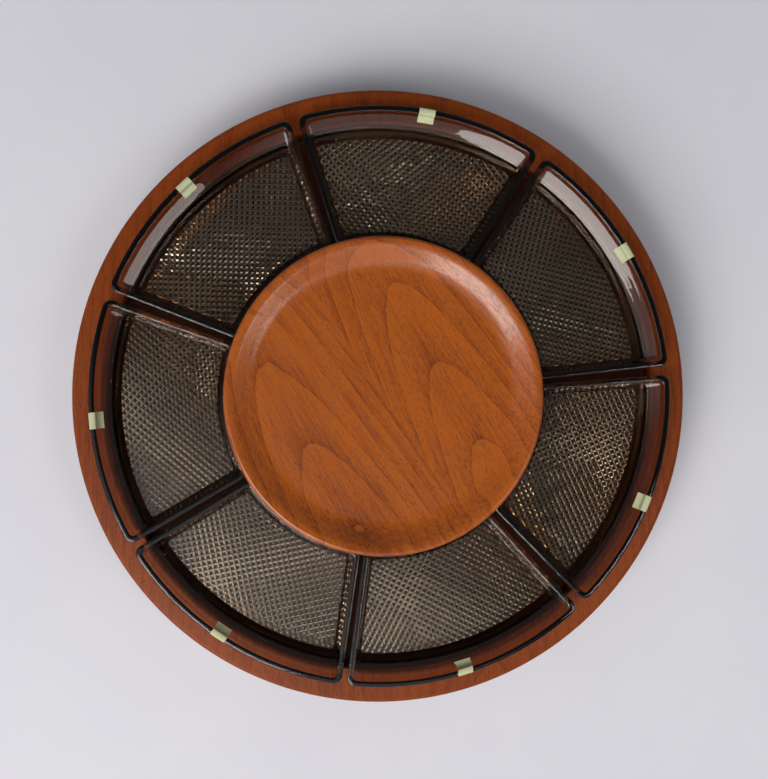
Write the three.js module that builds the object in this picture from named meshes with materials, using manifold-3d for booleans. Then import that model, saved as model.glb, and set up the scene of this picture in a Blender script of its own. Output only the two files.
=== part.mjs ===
// A teak lazy susan: a turned tray with seven glass dishes and a lift-off centre plate,
// turning on a caged ball bearing over a round base. Millimetres, +Z up; the origin is on
// the axis, at the level of the surface it stands on.
import * as THREE from 'three';
import { mergeVertices } from 'three/addons/utils/BufferGeometryUtils.js';
import Module from 'manifold-3d';

const wasm = await Module();
wasm.setup();
const { Manifold, Mesh: SolidMesh } = wasm;

// ---------------------------------------------------------------- driving dimensions
const seatGap = 0.3;             // between pieces that rest on or fill each other
const fineSides = 60;            // facets round a large turned piece
const ringSides = 36;            // facets round the bearing's rings
const smallSides = 10;           // facets round a fastener

const padHeight = 1.7;
const padRadius = 9;
const padCircleRadius = 82;
const padCount = 4;

const baseRadius = 100;
const baseThickness = 13;
const baseEdgeRound = 3.5;
const accessHoleRadius = 6.5;    // the upper race's screws are driven through it
const raceAccessRadius = 4.6;    // and through this one in the lower race

const ballRadius = 3;
const ballCircleRadius = 45;
const ballCount = 12;
const ballClearance = 0.35;
const cageHalfThickness = 0.6;
const cageHalfWidth = 4.6;
const sheetThickness = 1.2;      // pressed steel of the race plates
const raceHeight = 2.5;          // of one race plate, over its shoulders
const raceOuterRadius = 62;
const bearingHeight = 9;         // over both race plates
const rivetRadius = 4;
const screwCircleRadius = 57;
const raceScrewCount = 4;

const trayRadius = 195;
const trayFloorThickness = 9;
const recessDepth = 12;
const recessWallRadius = 172.2;  // at the foot of the recess's wall
const recessTopRadius = 173.6;   // inner edge of the rim's top face
const rimDrop = 1.6;             // how far the rim's top face slopes down outwards
const undersideFlatRadius = 138; // where the tray's underside starts to curve up
const rimEdgeHeight = 9;         // from the top of the rim to the widest, lowest point

const dishCount = 7;
const firstDishAngle = 30.9;     // degrees, of the first dish's middle
const dishLooseness = [0.1, 0, 0.1, 0.3, 0, -0.4, -0.2]; // degrees each dish sits off its place
const dishHalfAngle = 25;
const dishHeight = 22;
const dishOuterRadius = 181.6;
const dishInnerRadius = 96.6;
const lipThickness = 3.8;        // of the dish's upright rim
const dishFloorThickness = 4.2;

const tapeWidth = 10.2;
const tapeThickness = 0.4;
const tapeOffset = [-0.3, -1.1, -0.4, -0.6, -1.2, -1, -1.6]; // degrees off each dish's middle

const pedestalRadius = 95;
const pedestalNeckRadius = 61.6;
const pedestalScrewCount = 3;
const pedestalScrewCircle = 78;

const plateRadius = 98.2;
const plateRecessDepth = 3.7;
const plateFloorThickness = 7.4;
const plateLipHeight = 6;
const plateFlatRadius = 79.5;

// ---------------------------------------------------------------- levels, from the bottom
const baseBottom = padHeight + seatGap;
const baseTop = baseBottom + baseThickness;
const bearingBottom = baseTop + seatGap;
const ballLevel = bearingBottom + bearingHeight / 2;
const trayBottom = bearingBottom + bearingHeight + seatGap;
const trayFloor = trayBottom + trayFloorThickness;
const rimTop = trayFloor + recessDepth;
const dishBottom = trayFloor + seatGap;
const dishRimLevel = dishBottom + dishHeight;
const pedestalTop = dishRimLevel + 0.5;
const plateSeat = pedestalTop + seatGap;
const plateBottom = plateSeat - plateRecessDepth;
const plateFlat = plateSeat + plateFloorThickness;
const plateTop = plateFlat + plateLipHeight;

// ---------------------------------------------------------------- materials
const teakTray = new THREE.MeshStandardMaterial({ color: 0x8a4520, roughness: 0.5 });
const teakPlate = new THREE.MeshStandardMaterial({ color: 0xb4692c, roughness: 0.45 });
const smokedGlass = new THREE.MeshStandardMaterial({ color: 0x5a5c50, roughness: 0.1 });
const pressedSteel = new THREE.MeshStandardMaterial({ color: 0x9a9c9e, roughness: 0.4, metalness: 1 });
const ballSteel = new THREE.MeshStandardMaterial({ color: 0xc8cacc, roughness: 0.15, metalness: 1 });
const cageBrass = new THREE.MeshStandardMaterial({ color: 0xb08d4a, roughness: 0.4, metalness: 1 });
const screwBrass = new THREE.MeshStandardMaterial({ color: 0xa98a50, roughness: 0.35, metalness: 1 });
const greenFelt = new THREE.MeshStandardMaterial({ color: 0x39432f, roughness: 0.95 });
const creamTape = new THREE.MeshStandardMaterial({ color: 0xc9cda6, roughness: 0.8 });

// ---------------------------------------------------------------- helpers
const radians = THREE.MathUtils.degToRad;
const point = (x, y) => new THREE.Vector2(x, y);

/** Points of an arc in a profile, from one angle to the other, in degrees. */
function arcPoints(centreX, centreY, radius, fromDeg, toDeg, steps) {
  return Array.from({ length: steps + 1 }, (_, i) => {
    const angle = radians(fromDeg + ((toDeg - fromDeg) * i) / steps);
    return point(centreX + radius * Math.cos(angle), centreY + radius * Math.sin(angle));
  });
}

/** A solid of revolution about Z. The profile's x is the radius and its y is the height. */
function turned(profile, sides) {
  const geometry = new THREE.LatheGeometry(profile, sides);
  geometry.rotateX(Math.PI / 2);
  return geometry;
}

/** A ring or tube of revolution: the profile goes round its cross-section and closes. */
function turnedRing(profile, sides) {
  return turned([...profile, profile[0].clone()], sides);
}

/** An upright cylinder between two levels. */
function post(x, y, radius, fromZ, toZ, sides = smallSides) {
  const geometry = new THREE.CylinderGeometry(radius, radius, toZ - fromZ, sides);
  geometry.rotateX(Math.PI / 2);
  geometry.translate(x, y, (fromZ + toZ) / 2);
  return geometry;
}

function toSolid(geometry) {
  const bare = geometry.clone();
  bare.deleteAttribute('normal');
  bare.deleteAttribute('uv');
  const merged = mergeVertices(bare, 1e-4);
  return new Manifold(new SolidMesh({
    numProp: 3,
    vertProperties: merged.attributes.position.array,
    triVerts: new Uint32Array(merged.index.array),
  }));
}

function toGeometry(solid) {
  const { vertProperties, triVerts } = solid.getMesh();
  const geometry = new THREE.BufferGeometry();
  geometry.setAttribute('position', new THREE.BufferAttribute(vertProperties, 3));
  geometry.setIndex(new THREE.BufferAttribute(triVerts, 1));
  geometry.computeVertexNormals();
  return geometry;
}

/** One geometry with others cut out of it. */
function cut(geometry, tools) {
  return toGeometry(tools.reduce((solid, tool) => solid.subtract(toSolid(tool)), toSolid(geometry)));
}

/** The places of `count` things spaced evenly round a circle. */
function aroundCircle(count, radius, startDeg) {
  return Array.from({ length: count }, (_, i) => {
    const angle = radians(startDeg + (360 * i) / count);
    return { x: radius * Math.cos(angle), y: radius * Math.sin(angle) };
  });
}

const object = new THREE.Group();

function add(name, geometry, material) {
  const mesh = new THREE.Mesh(geometry, material);
  mesh.name = name;
  object.add(mesh);
  return mesh;
}

// ---------------------------------------------------------------- fasteners
const screwHeadRadius = 3.3;
const screwHeadHeight = 1.8;
const screwShankRadius = 1.5;
const slotWidth = 0.9;
const slotDepth = 0.9;

/** A slotted round-head wood screw, head up, with the underside of its head at z = 0. */
function woodScrew(length) {
  const profile = [
    point(0, -length),
    point(screwShankRadius, -length + 3),
    point(screwShankRadius, 0),
    point(screwHeadRadius, 0),
    point(screwHeadRadius * 0.9, screwHeadHeight * 0.55),
    point(screwHeadRadius * 0.5, screwHeadHeight * 0.95),
    point(0, screwHeadHeight),
  ];
  const slot = new THREE.BoxGeometry(screwHeadRadius * 2.5, slotWidth, slotDepth * 2);
  slot.translate(0, 0, screwHeadHeight);
  return cut(turned(profile, smallSides), [slot]);
}

/** Sets screws on a circle, head up or head down, with their heads' undersides at a level. */
function addScrews(prefix, places, length, level, headDown) {
  const geometry = woodScrew(length);
  places.forEach((place, i) => {
    const screw = add(`${prefix}_${i + 1}`, geometry, screwBrass);
    screw.rotation.x = headDown ? Math.PI : 0;
    screw.position.set(place.x, place.y, level);
  });
}

const lowerScrewPlaces = aroundCircle(raceScrewCount, screwCircleRadius, 45);
const upperScrewPlaces = aroundCircle(raceScrewCount, screwCircleRadius, 0);
const pedestalScrewPlaces = aroundCircle(pedestalScrewCount, pedestalScrewCircle, 30);
const lowerScrewLength = 11;
const upperScrewLength = 8.5;
const pedestalScrewLength = 16;
const pilotRadius = screwShankRadius + seatGap;

// ---------------------------------------------------------------- base
function baseDisc() {
  const round = baseEdgeRound;
  const body = turned([
    point(0, baseBottom),
    ...arcPoints(baseRadius - round, baseBottom + round, round, -90, 0, 3),
    ...arcPoints(baseRadius - round, baseTop - round, round, 0, 90, 3),
    point(0, baseTop),
  ], fineSides);
  const rivetHole = post(0, 0, 11, baseBottom - 1, baseTop + 1, 24);
  const accessHole = post(screwCircleRadius, 0, accessHoleRadius, baseBottom - 1, baseTop + 1, 16);
  const pilotDepth = lowerScrewLength - sheetThickness + 1;
  const pilots = lowerScrewPlaces.map(({ x, y }) => (
    post(x, y, pilotRadius, baseTop - pilotDepth, baseTop + 1)));
  return cut(body, [rivetHole, accessHole, ...pilots]);
}

function addBase() {
  add('base_disc', baseDisc(), teakTray);
  aroundCircle(padCount, padCircleRadius, 45).forEach(({ x, y }, i) => {
    add(`base_pad_${i + 1}`, post(x, y, padRadius, 0, padHeight, 24), greenFelt);
  });
}

// ---------------------------------------------------------------- swivel bearing
/** One pressed race plate, groove up, lying on z = 0. */
function racePlate() {
  const boreRadius = rivetRadius + 0.5;
  const shoulder = 3.2;          // from the ball circle to the top of the groove's shoulders
  const foot = 5.5;              // from the ball circle to where the plate is flat again
  const grooveRadius = ballRadius + ballClearance;
  const groove = arcPoints(ballCircleRadius, bearingHeight / 2, grooveRadius, 225, 315, 3);
  const body = turnedRing([
    point(boreRadius, 0),
    point(ballCircleRadius - foot + 0.4, 0),
    point(ballCircleRadius - shoulder, raceHeight - sheetThickness - 0.2),
    point(ballCircleRadius - 1.2, 0),
    point(ballCircleRadius + 1.2, 0),
    point(ballCircleRadius + shoulder, raceHeight - sheetThickness - 0.2),
    point(ballCircleRadius + foot - 0.4, 0),
    point(raceOuterRadius, 0),
    point(raceOuterRadius, sheetThickness),
    point(ballCircleRadius + foot, sheetThickness),
    point(ballCircleRadius + shoulder, raceHeight),
    ...groove.reverse(),
    point(ballCircleRadius - shoulder, raceHeight),
    point(ballCircleRadius - foot, sheetThickness),
    point(boreRadius, sheetThickness),
  ], ringSides);
  const holes = upperScrewPlaces.map(({ x, y }) => post(x, y, pilotRadius, -1, sheetThickness + 1));
  const [between] = aroundCircle(1, screwCircleRadius, -45);
  const accessHole = post(between.x, between.y, raceAccessRadius, -1, sheetThickness + 1, 16);
  return cut(body, [...holes, accessHole]);
}

function ballCage() {
  const body = turnedRing([
    point(ballCircleRadius - cageHalfWidth, ballLevel - cageHalfThickness),
    point(ballCircleRadius + cageHalfWidth, ballLevel - cageHalfThickness),
    point(ballCircleRadius + cageHalfWidth, ballLevel + cageHalfThickness),
    point(ballCircleRadius - cageHalfWidth, ballLevel + cageHalfThickness),
  ], ringSides);
  const pockets = aroundCircle(ballCount, ballCircleRadius, 15).map(({ x, y }) => (
    post(x, y, ballRadius + ballClearance, ballLevel - 2, ballLevel + 2)));
  return cut(body, pockets);
}

function pivotRivet() {
  const shank = rivetRadius;
  const lowerHead = 8;
  const upperHead = 6.5;
  const upperWeb = bearingBottom + bearingHeight;
  return turned([
    point(0, bearingBottom - 2.2),
    point(lowerHead - 1, bearingBottom - 2.2),
    point(lowerHead, bearingBottom - 1.5),
    point(lowerHead, bearingBottom - seatGap),
    point(shank, bearingBottom - seatGap),
    point(shank, upperWeb + 1.4),
    point(upperHead, upperWeb + 1.4),
    point(upperHead * 0.8, upperWeb + 2.3),
    point(0, upperWeb + 2.7),
  ], 24);
}

function pivotWasher() {
  const bottom = bearingBottom + bearingHeight + seatGap;
  const inner = rivetRadius + seatGap;
  return turnedRing([
    point(inner, bottom),
    point(8.5, bottom),
    point(8.5, bottom + 0.8),
    point(inner, bottom + 0.8),
  ], 24);
}

function addBearing() {
  const geometry = racePlate();
  const lower = add('lower_race', geometry, pressedSteel);
  lower.position.z = bearingBottom;
  lower.rotation.z = Math.PI / 4;
  const upper = add('upper_race', geometry, pressedSteel);
  upper.position.z = bearingBottom + bearingHeight;
  upper.rotation.x = Math.PI;
  add('ball_cage', ballCage(), cageBrass);
  const ball = new THREE.SphereGeometry(ballRadius, 10, 7);
  aroundCircle(ballCount, ballCircleRadius, 15).forEach(({ x, y }, i) => {
    add(`ball_${i + 1}`, ball, ballSteel).position.set(x, y, ballLevel);
  });
  add('pivot_rivet', pivotRivet(), pressedSteel);
  add('pivot_washer', pivotWasher(), pressedSteel);
  const lowerSeat = bearingBottom + sheetThickness + seatGap;
  const upperSeat = bearingBottom + bearingHeight - sheetThickness - seatGap;
  addScrews('lower_screw', lowerScrewPlaces, lowerScrewLength, lowerSeat, false);
  addScrews('upper_screw', upperScrewPlaces, upperScrewLength, upperSeat, true);
}

// ---------------------------------------------------------------- tray
function undersideCurve(steps) {
  const run = trayRadius - undersideFlatRadius;
  const rise = rimTop - rimEdgeHeight - trayBottom;
  return Array.from({ length: steps + 1 }, (_, i) => {
    const angle = radians((90 * i) / steps);
    return point(undersideFlatRadius + run * Math.sin(angle), trayBottom + rise * (1 - Math.cos(angle)));
  });
}

function tray() {
  const coveRadius = 1.8;
  const body = turned([
    point(0, trayBottom),
    ...undersideCurve(6),
    point(trayRadius, rimTop - 4.2),
    point(trayRadius - 0.9, rimTop - 2.4),
    point(trayRadius - 3, rimTop - rimDrop + 0.1),
    point(recessTopRadius + 0.8, rimTop),
    point(recessTopRadius - 0.8, rimTop - 1),
    ...arcPoints(recessWallRadius - coveRadius, trayFloor + coveRadius, coveRadius, 0, -90, 3),
    point(0, trayFloor),
  ], fineSides);
  const rivetPocket = post(0, 0, 10.5, trayBottom - 1, trayBottom + 3.4, 24);
  const racePilots = upperScrewPlaces.map(({ x, y }) => (
    post(x, y, pilotRadius, trayBottom - 1, trayBottom + upperScrewLength - 1)));
  const pedestalPilots = pedestalScrewPlaces.map(({ x, y }) => (
    post(x, y, pilotRadius, trayBottom - 1, trayFloor + 1)));
  const headPockets = pedestalScrewPlaces.map(({ x, y }) => (
    post(x, y, screwHeadRadius + 0.8, trayBottom - 1, trayBottom + screwHeadHeight + 0.7, 16)));
  return cut(body, [rivetPocket, ...racePilots, ...pedestalPilots, ...headPockets]);
}

function pedestal() {
  const bottom = trayFloor + seatGap;
  const body = turned([
    point(0, bottom),
    point(pedestalRadius, bottom),
    point(pedestalRadius - 0.8, bottom + 9),
    point(pedestalRadius - 3, bottom + 12),
    point(pedestalRadius - 12, bottom + 14.5),
    point(pedestalNeckRadius + 3, bottom + 16.5),
    point(pedestalNeckRadius, bottom + 18.5),
    point(pedestalNeckRadius, pedestalTop - 0.8),
    point(pedestalNeckRadius - 0.8, pedestalTop),
    point(0, pedestalTop),
  ], 48);
  const pilots = pedestalScrewPlaces.map(({ x, y }) => post(x, y, pilotRadius, bottom - 1, bottom + 11));
  return cut(body, pilots);
}

function addTray() {
  add('tray', tray(), teakTray);
  add('pedestal', pedestal(), teakTray);
  const headSeat = trayBottom + screwHeadHeight + 0.4;
  addScrews('pedestal_screw', pedestalScrewPlaces, pedestalScrewLength, headSeat, true);
}

// ---------------------------------------------------------------- centre plate
function centrePlate() {
  const recessRadius = pedestalNeckRadius + 0.6;
  return turned([
    point(0, plateSeat),
    point(recessRadius, plateSeat),
    point(recessRadius, plateBottom),
    point(77, plateBottom),
    point(86, plateBottom + 1.2),
    point(92, plateBottom + 3),
    point(95.6, plateBottom + 5.2),
    point(97.4, plateBottom + 8),
    point(plateRadius, plateBottom + 10.6),
    point(plateRadius - 0.4, plateTop - 2.6),
    point(plateRadius - 2.2, plateTop - 0.6),
    point(93.6, plateTop),
    point(90.4, plateTop - 0.9),
    point(86, plateFlat + 2.2),
    point(82.4, plateFlat + 0.5),
    point(plateFlatRadius, plateFlat),
    point(0, plateFlat),
  ], fineSides);
}

// ---------------------------------------------------------------- glass dishes
/**
 * A closed outline of a wedge with rounded corners, symmetric about +X. `inset` is how far
 * its straight sides lie inside the radial lines at the dish's half angle.
 */
function wedgeOutline({ outer, inner, inset, corner }) {
  const side = radians(dishHalfAngle);
  const along = point(Math.cos(side), Math.sin(side));
  const across = point(-Math.sin(side), Math.cos(side));
  const cornerCentre = (distance) => {
    const off = inset + corner;
    const reach = Math.sqrt(distance * distance - off * off);
    return along.clone().multiplyScalar(reach).addScaledVector(across, -off);
  };
  const outerCorner = cornerCentre(outer - corner);
  const innerCorner = cornerCentre(inner + corner);
  const outerEnd = THREE.MathUtils.radToDeg(outerCorner.angle());
  const innerEnd = THREE.MathUtils.radToDeg(innerCorner.angle());
  const half = [
    ...arcPoints(0, 0, outer, 0, outerEnd, 4),
    ...arcPoints(outerCorner.x, outerCorner.y, corner, outerEnd, 90 + dishHalfAngle, 2).slice(1),
    ...arcPoints(innerCorner.x, innerCorner.y, corner, 90 + dishHalfAngle, 180 + innerEnd, 1),
    ...arcPoints(0, 0, inner, innerEnd, 0, 2).slice(1),
  ];
  const mirrored = half.slice(1, -1).reverse().map((p) => point(p.x, -p.y));
  return [...half, ...mirrored];
}

/**
 * Sections of the dish, from the underside up the outside and down the inside. Its outer end
 * has a ledge that lies over the tray's rim, with an upright lip.
 */
function dishSections() {
  const rim = { outer: dishOuterRadius, inner: dishInnerRadius };
  const lip = lipThickness;
  const round = 0.9;             // of the rim's two top edges
  return [
    { z: 0, outer: 167.8, inner: 102, inset: 4.9, corner: 5 },
    { z: 2.6, outer: 169.5, inner: 99.3, inset: 2.9, corner: 5.8 },
    { z: 11, outer: 171.4, inner: 97.9, inset: 1.4, corner: 6 },
    { z: 12.3, outer: 173, inner: 97.8, inset: 1.2, corner: 6 },
    { z: 13.8, outer: 177.7, inner: 97.5, inset: 0.9, corner: 6 },
    { z: 17.6, outer: 181.3, inner: 96.9, inset: 0.3, corner: 5.6 },
    { z: dishHeight - 1.4, outer: rim.outer, inner: rim.inner, inset: 0, corner: 5.5 },
    { z: dishHeight, outer: rim.outer - round, inner: rim.inner + round, inset: round, corner: 4.6 },
    {
      z: dishHeight,
      outer: rim.outer - lip + round,
      inner: rim.inner + lip - round,
      inset: lip - round,
      corner: 3.2,
    },
    { z: dishHeight - 1.4, outer: rim.outer - lip, inner: rim.inner + lip, inset: lip, corner: 3 },
    { z: 18, outer: rim.outer - lip - 0.8, inner: 100.9, inset: 4.1, corner: 3.1 },
    { z: 15.4, outer: 170.4, inner: 101.4, inset: 4.5, corner: 3.2 },
    { z: 12.6, outer: 168, inner: 101.8, inset: 4.9, corner: 3.3 },
    { z: 7, outer: 166.8, inner: 102.8, inset: 5.6, corner: 3.4 },
    { z: dishFloorThickness, outer: 165.4, inner: 105.2, inset: 7.3, corner: 3 },
  ];
}

function glassDish() {
  const rings = dishSections().map((section) => ({ z: section.z, outline: wedgeOutline(section) }));
  const count = rings[0].outline.length;
  const positions = rings.flatMap(({ z, outline }) => outline.flatMap((p) => [p.x, p.y, z]));
  const indices = [];
  for (let ring = 0; ring + 1 < rings.length; ring += 1) {
    for (let i = 0; i < count; i += 1) {
      const a = ring * count + i;
      const b = ring * count + ((i + 1) % count);
      indices.push(a, b, b + count, a, b + count, a + count);
    }
  }
  const lastRing = (rings.length - 1) * count;
  THREE.ShapeUtils.triangulateShape(rings[0].outline, []).forEach(([a, b, c]) => {
    indices.push(a, c, b);
  });
  THREE.ShapeUtils.triangulateShape(rings.at(-1).outline, []).forEach(([a, b, c]) => {
    indices.push(lastRing + a, lastRing + b, lastRing + c);
  });
  const geometry = new THREE.BufferGeometry();
  geometry.setAttribute('position', new THREE.Float32BufferAttribute(positions, 3));
  geometry.setIndex(indices);
  geometry.computeVertexNormals();
  return geometry;
}

/** A blank tab stuck over the rim and down the inside of the dish's outer wall. */
function tapeTab() {
  const lift = seatGap + 0.05;
  const near = [
    point(dishOuterRadius + lift, dishHeight - 1.3),
    point(dishOuterRadius - 0.8, dishHeight + lift),
    point(dishOuterRadius - lipThickness + 0.6, dishHeight + lift),
    point(dishOuterRadius - lipThickness - 0.6, dishHeight - 1.3),
    point(dishOuterRadius - lipThickness - 1.4, 18.4),
    point(173.2, 17.1),
  ];
  const far = [
    point(173.1, 17.5),
    point(near[4].x - 0.2, near[4].y + tapeThickness),
    point(near[3].x - tapeThickness, near[3].y + 0.2),
    point(near[2].x - 0.1, near[2].y + tapeThickness),
    point(near[1].x + 0.1, near[1].y + tapeThickness),
    point(near[0].x + tapeThickness, near[0].y + 0.2),
  ];
  const shape = new THREE.Shape([...near, ...far]);
  const geometry = new THREE.ExtrudeGeometry(shape, { depth: tapeWidth, bevelEnabled: false });
  geometry.translate(0, 0, -tapeWidth / 2);
  geometry.rotateX(Math.PI / 2);
  return geometry;
}

function addDishes() {
  const dish = glassDish();
  const tape = tapeTab();
  dishLooseness.forEach((offset, i) => {
    const seat = new THREE.Group();
    seat.position.z = dishBottom;
    seat.rotation.z = radians(firstDishAngle + (360 * i) / dishCount + offset);
    object.add(seat);
    seat.add(add(`dish_${i + 1}`, dish, smokedGlass));
    const tab = add(`tape_${i + 1}`, tape, creamTape);
    tab.rotation.z = radians(tapeOffset[i]);
    seat.add(tab);
  });
}

addBase();
addBearing();
addTray();
add('centre_plate', centrePlate(), teakPlate);
addDishes();

export default object;
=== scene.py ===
"""Looks of a teak lazy susan with seven glass dishes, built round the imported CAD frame.

Lengths in the modelling functions are millimetres, in the CAD frame: the origin is on the
turning axis at table level, +Z is up. Meshes are scaled to metres when they are made.
"""
import math
import random

import bmesh
import bpy
from mathutils import Matrix, Vector


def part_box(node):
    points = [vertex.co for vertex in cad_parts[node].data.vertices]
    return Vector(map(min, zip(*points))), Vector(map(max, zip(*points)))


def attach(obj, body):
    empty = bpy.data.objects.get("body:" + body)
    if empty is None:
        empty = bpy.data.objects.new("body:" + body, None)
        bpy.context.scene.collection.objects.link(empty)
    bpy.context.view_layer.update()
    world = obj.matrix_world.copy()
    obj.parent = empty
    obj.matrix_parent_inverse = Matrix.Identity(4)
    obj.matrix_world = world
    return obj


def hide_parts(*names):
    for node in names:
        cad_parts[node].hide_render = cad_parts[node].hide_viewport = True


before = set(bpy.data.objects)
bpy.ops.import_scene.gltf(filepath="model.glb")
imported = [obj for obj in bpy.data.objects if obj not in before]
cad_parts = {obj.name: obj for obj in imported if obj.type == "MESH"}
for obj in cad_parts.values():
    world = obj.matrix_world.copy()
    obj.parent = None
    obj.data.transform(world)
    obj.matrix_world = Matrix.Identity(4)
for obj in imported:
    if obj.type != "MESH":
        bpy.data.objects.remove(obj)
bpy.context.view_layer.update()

MM = 0.001
FULL_TURN = 2 * math.pi


def low(node, axis=2):
    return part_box(node)[0][axis] / MM


def high(node, axis=2):
    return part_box(node)[1][axis] / MM


# ------------------------------------------------------------------ sizes shared with the CAD
SEAT_GAP = 0.3                   # between pieces that rest on each other
DISH_COUNT = 7
FIRST_DISH_DEG = 30.9
DISH_LOOSENESS_DEG = (0.1, 0, 0.1, 0.3, 0, -0.4, -0.2)
DISH_HALF_ANGLE = math.radians(25)
RIM_OUTER, RIM_INNER, LIP = 181.6, 96.6, 3.8      # of a dish's upright rim
TAB_OFFSET_DEG = (-0.3, -1.1, -0.4, -0.6, -1.2, -1, -1.6)
RECESS_WALL = 172.2
PEDESTAL_NECK_RADIUS = 61.6
BALL_CIRCLE, BALL_RADIUS, BALL_COUNT = 45, 3, 12
RACE_RADIUS, RACE_SHEET, RACE_HEIGHT = 62, 1.2, 2.5
RIVET_RADIUS = 4
SCREW_CIRCLE, PEDESTAL_SCREW_CIRCLE = 57, 78
PAD_RADIUS, PAD_CIRCLE, PAD_HEIGHT = 9, 82, 1.7
ACCESS_RADIUS, RACE_ACCESS_RADIUS = 6.5, 4.6      # holes the upper screws are driven through

# ------------------------------------------------------------------ sizes from the frame
BASE_BOTTOM, BASE_TOP = low("base_disc"), high("base_disc")
BASE_RADIUS = high("base_disc", 0)
TRAY_BOTTOM, RIM_TOP = low("tray"), high("tray")
TRAY_RADIUS = high("tray", 0)
PEDESTAL_BOTTOM, PEDESTAL_TOP = low("pedestal"), high("pedestal")
PEDESTAL_RADIUS = high("pedestal", 0)
PLATE_BOTTOM, PLATE_TOP = low("centre_plate"), high("centre_plate")
PLATE_RADIUS = high("centre_plate", 0)
DISH_BOTTOM, DISH_RIM = low("dish_1"), high("dish_1")
DISH_HEIGHT = DISH_RIM - DISH_BOTTOM
LOWER_RACE, UPPER_RACE = low("lower_race"), high("upper_race")
BALL_LEVEL = (low("ball_1") + high("ball_1")) / 2
TRAY_FLOOR = PEDESTAL_BOTTOM - SEAT_GAP
PLATE_SEAT = PEDESTAL_TOP + SEAT_GAP
PLATE_FLAT = PLATE_TOP - 5.9
RECESS_TOP = RECESS_WALL + 1.2   # the recess's radius at the rim


# ------------------------------------------------------------------ mesh helpers
def make_object(name, verts, faces, sharp_deg=32):
    """A mesh object from millimetre points, smooth except at edges sharper than that."""
    mesh = bpy.data.meshes.new(name)
    mesh.from_pydata([Vector(v) * MM for v in verts], [], faces)
    bm = bmesh.new()
    bm.from_mesh(mesh)
    bmesh.ops.recalc_face_normals(bm, faces=bm.faces)
    bm.to_mesh(mesh)
    bm.free()
    finish_shading(mesh, sharp_deg)
    obj = bpy.data.objects.new(name, mesh)
    bpy.context.scene.collection.objects.link(obj)
    return obj


def finish_shading(mesh, sharp_deg):
    mesh.polygons.foreach_set("use_smooth", [True] * len(mesh.polygons))
    mesh.set_sharp_from_angle(angle=math.radians(sharp_deg))


def arc(centre, radius, start, end, steps):
    """Points of an arc; angles in radians."""
    angles = [start + (end - start) * i / steps for i in range(steps + 1)]
    return [(centre[0] + radius * math.cos(a), centre[1] + radius * math.sin(a)) for a in angles]


def filleted(corners, steps=8):
    """A profile whose (r, z, fillet) corners are rounded by arcs of those radii."""
    profile = []
    for i, (r, z, fillet) in enumerate(corners):
        here = Vector((r, z))
        if fillet == 0 or i in (0, len(corners) - 1):
            profile.append((r, z))
            continue
        before = Vector(corners[i - 1][:2]) - here
        after = Vector(corners[i + 1][:2]) - here
        half = before.angle(after) / 2
        reach = min(fillet / math.tan(half), 0.49 * before.length, 0.49 * after.length)
        radius = reach * math.tan(half)
        centre = here + (before.normalized() + after.normalized()).normalized() * (radius / math.sin(half))
        start = here + before.normalized() * reach - centre
        sweep = start.angle_signed(here + after.normalized() * reach - centre)
        for step in range(steps + 1):
            spoke = start.copy()
            spoke.rotate(Matrix.Rotation(-sweep * step / steps, 2))
            profile.append(tuple(centre + spoke))
    return profile


def lathe(name, profile, sides=256, ring=False, sharp_deg=32):
    """A solid of revolution about Z; a ring's profile closes on itself."""
    verts, rows, faces = [], [], []
    for r, z in profile:
        if r < 1e-6:
            rows.append([len(verts)] * sides)
            verts.append((0, 0, z))
        else:
            rows.append(list(range(len(verts), len(verts) + sides)))
            verts += [(x, y, z) for x, y in arc((0, 0), r, 0, FULL_TURN * (sides - 1) / sides, sides - 1)]
    pairs = list(zip(rows, rows[1:]))
    if ring:
        pairs.append((rows[-1], rows[0]))
    for one, two in pairs:
        for i in range(sides):
            j = (i + 1) % sides
            face = list(dict.fromkeys((one[i], one[j], two[j], two[i])))
            if len(face) > 2:
                faces.append(face)
    return make_object(name, verts, faces, sharp_deg)


def loft(name, rings, sharp_deg=32):
    """A closed solid through rings of equal point count; the first and last are capped."""
    count = len(rings[0])
    verts = [p for ring in rings for p in ring]
    faces = [list(range(count)), list(range(len(verts) - count, len(verts)))]
    for k in range(len(rings) - 1):
        for i in range(count):
            j = (i + 1) % count
            faces.append((k * count + i, k * count + j, (k + 1) * count + j, (k + 1) * count + i))
    return make_object(name, verts, faces, sharp_deg)


def post(x, y, radius, bottom, top, sides=32):
    outline = arc((x, y), radius, 0, FULL_TURN * (sides - 1) / sides, sides - 1)
    return loft("post", [[(px, py, z) for px, py in outline] for z in (bottom, top)])


def block(centre, size):
    cx, cy, cz = centre
    sx, sy, sz = (s / 2 for s in size)
    ring = [(cx - sx, cy - sy), (cx + sx, cy - sy), (cx + sx, cy + sy), (cx - sx, cy + sy)]
    return loft("block", [[(px, py, z) for px, py in ring] for z in (cz - sz, cz + sz)])


def combine(obj, tools, operation, sharp_deg=32):
    """Cuts the tools out of obj, or joins them to it, and removes them."""
    for tool in tools:
        modifier = obj.modifiers.new("combine", "BOOLEAN")
        modifier.operation = operation
        modifier.solver = "MANIFOLD"
        modifier.object = tool
    graph = bpy.context.evaluated_depsgraph_get()
    mesh = bpy.data.meshes.new_from_object(obj.evaluated_get(graph))
    obj.modifiers.clear()
    obj.data = mesh
    for tool in tools:
        bpy.data.objects.remove(tool)
    finish_shading(mesh, sharp_deg)
    return obj


def around(count, radius, start_deg):
    """Places of count things spaced evenly round a circle."""
    angles = [math.radians(start_deg) + FULL_TURN * i / count for i in range(count)]
    return [(radius * math.cos(a), radius * math.sin(a)) for a in angles]


def place(obj, x=0, y=0, z=0, turn_x=0, turn_z=0):
    obj.matrix_world = (
        Matrix.Translation(Vector((x, y, z)) * MM)
        @ Matrix.Rotation(turn_z, 4, "Z")
        @ Matrix.Rotation(turn_x, 4, "X")
    )
    return obj


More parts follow.
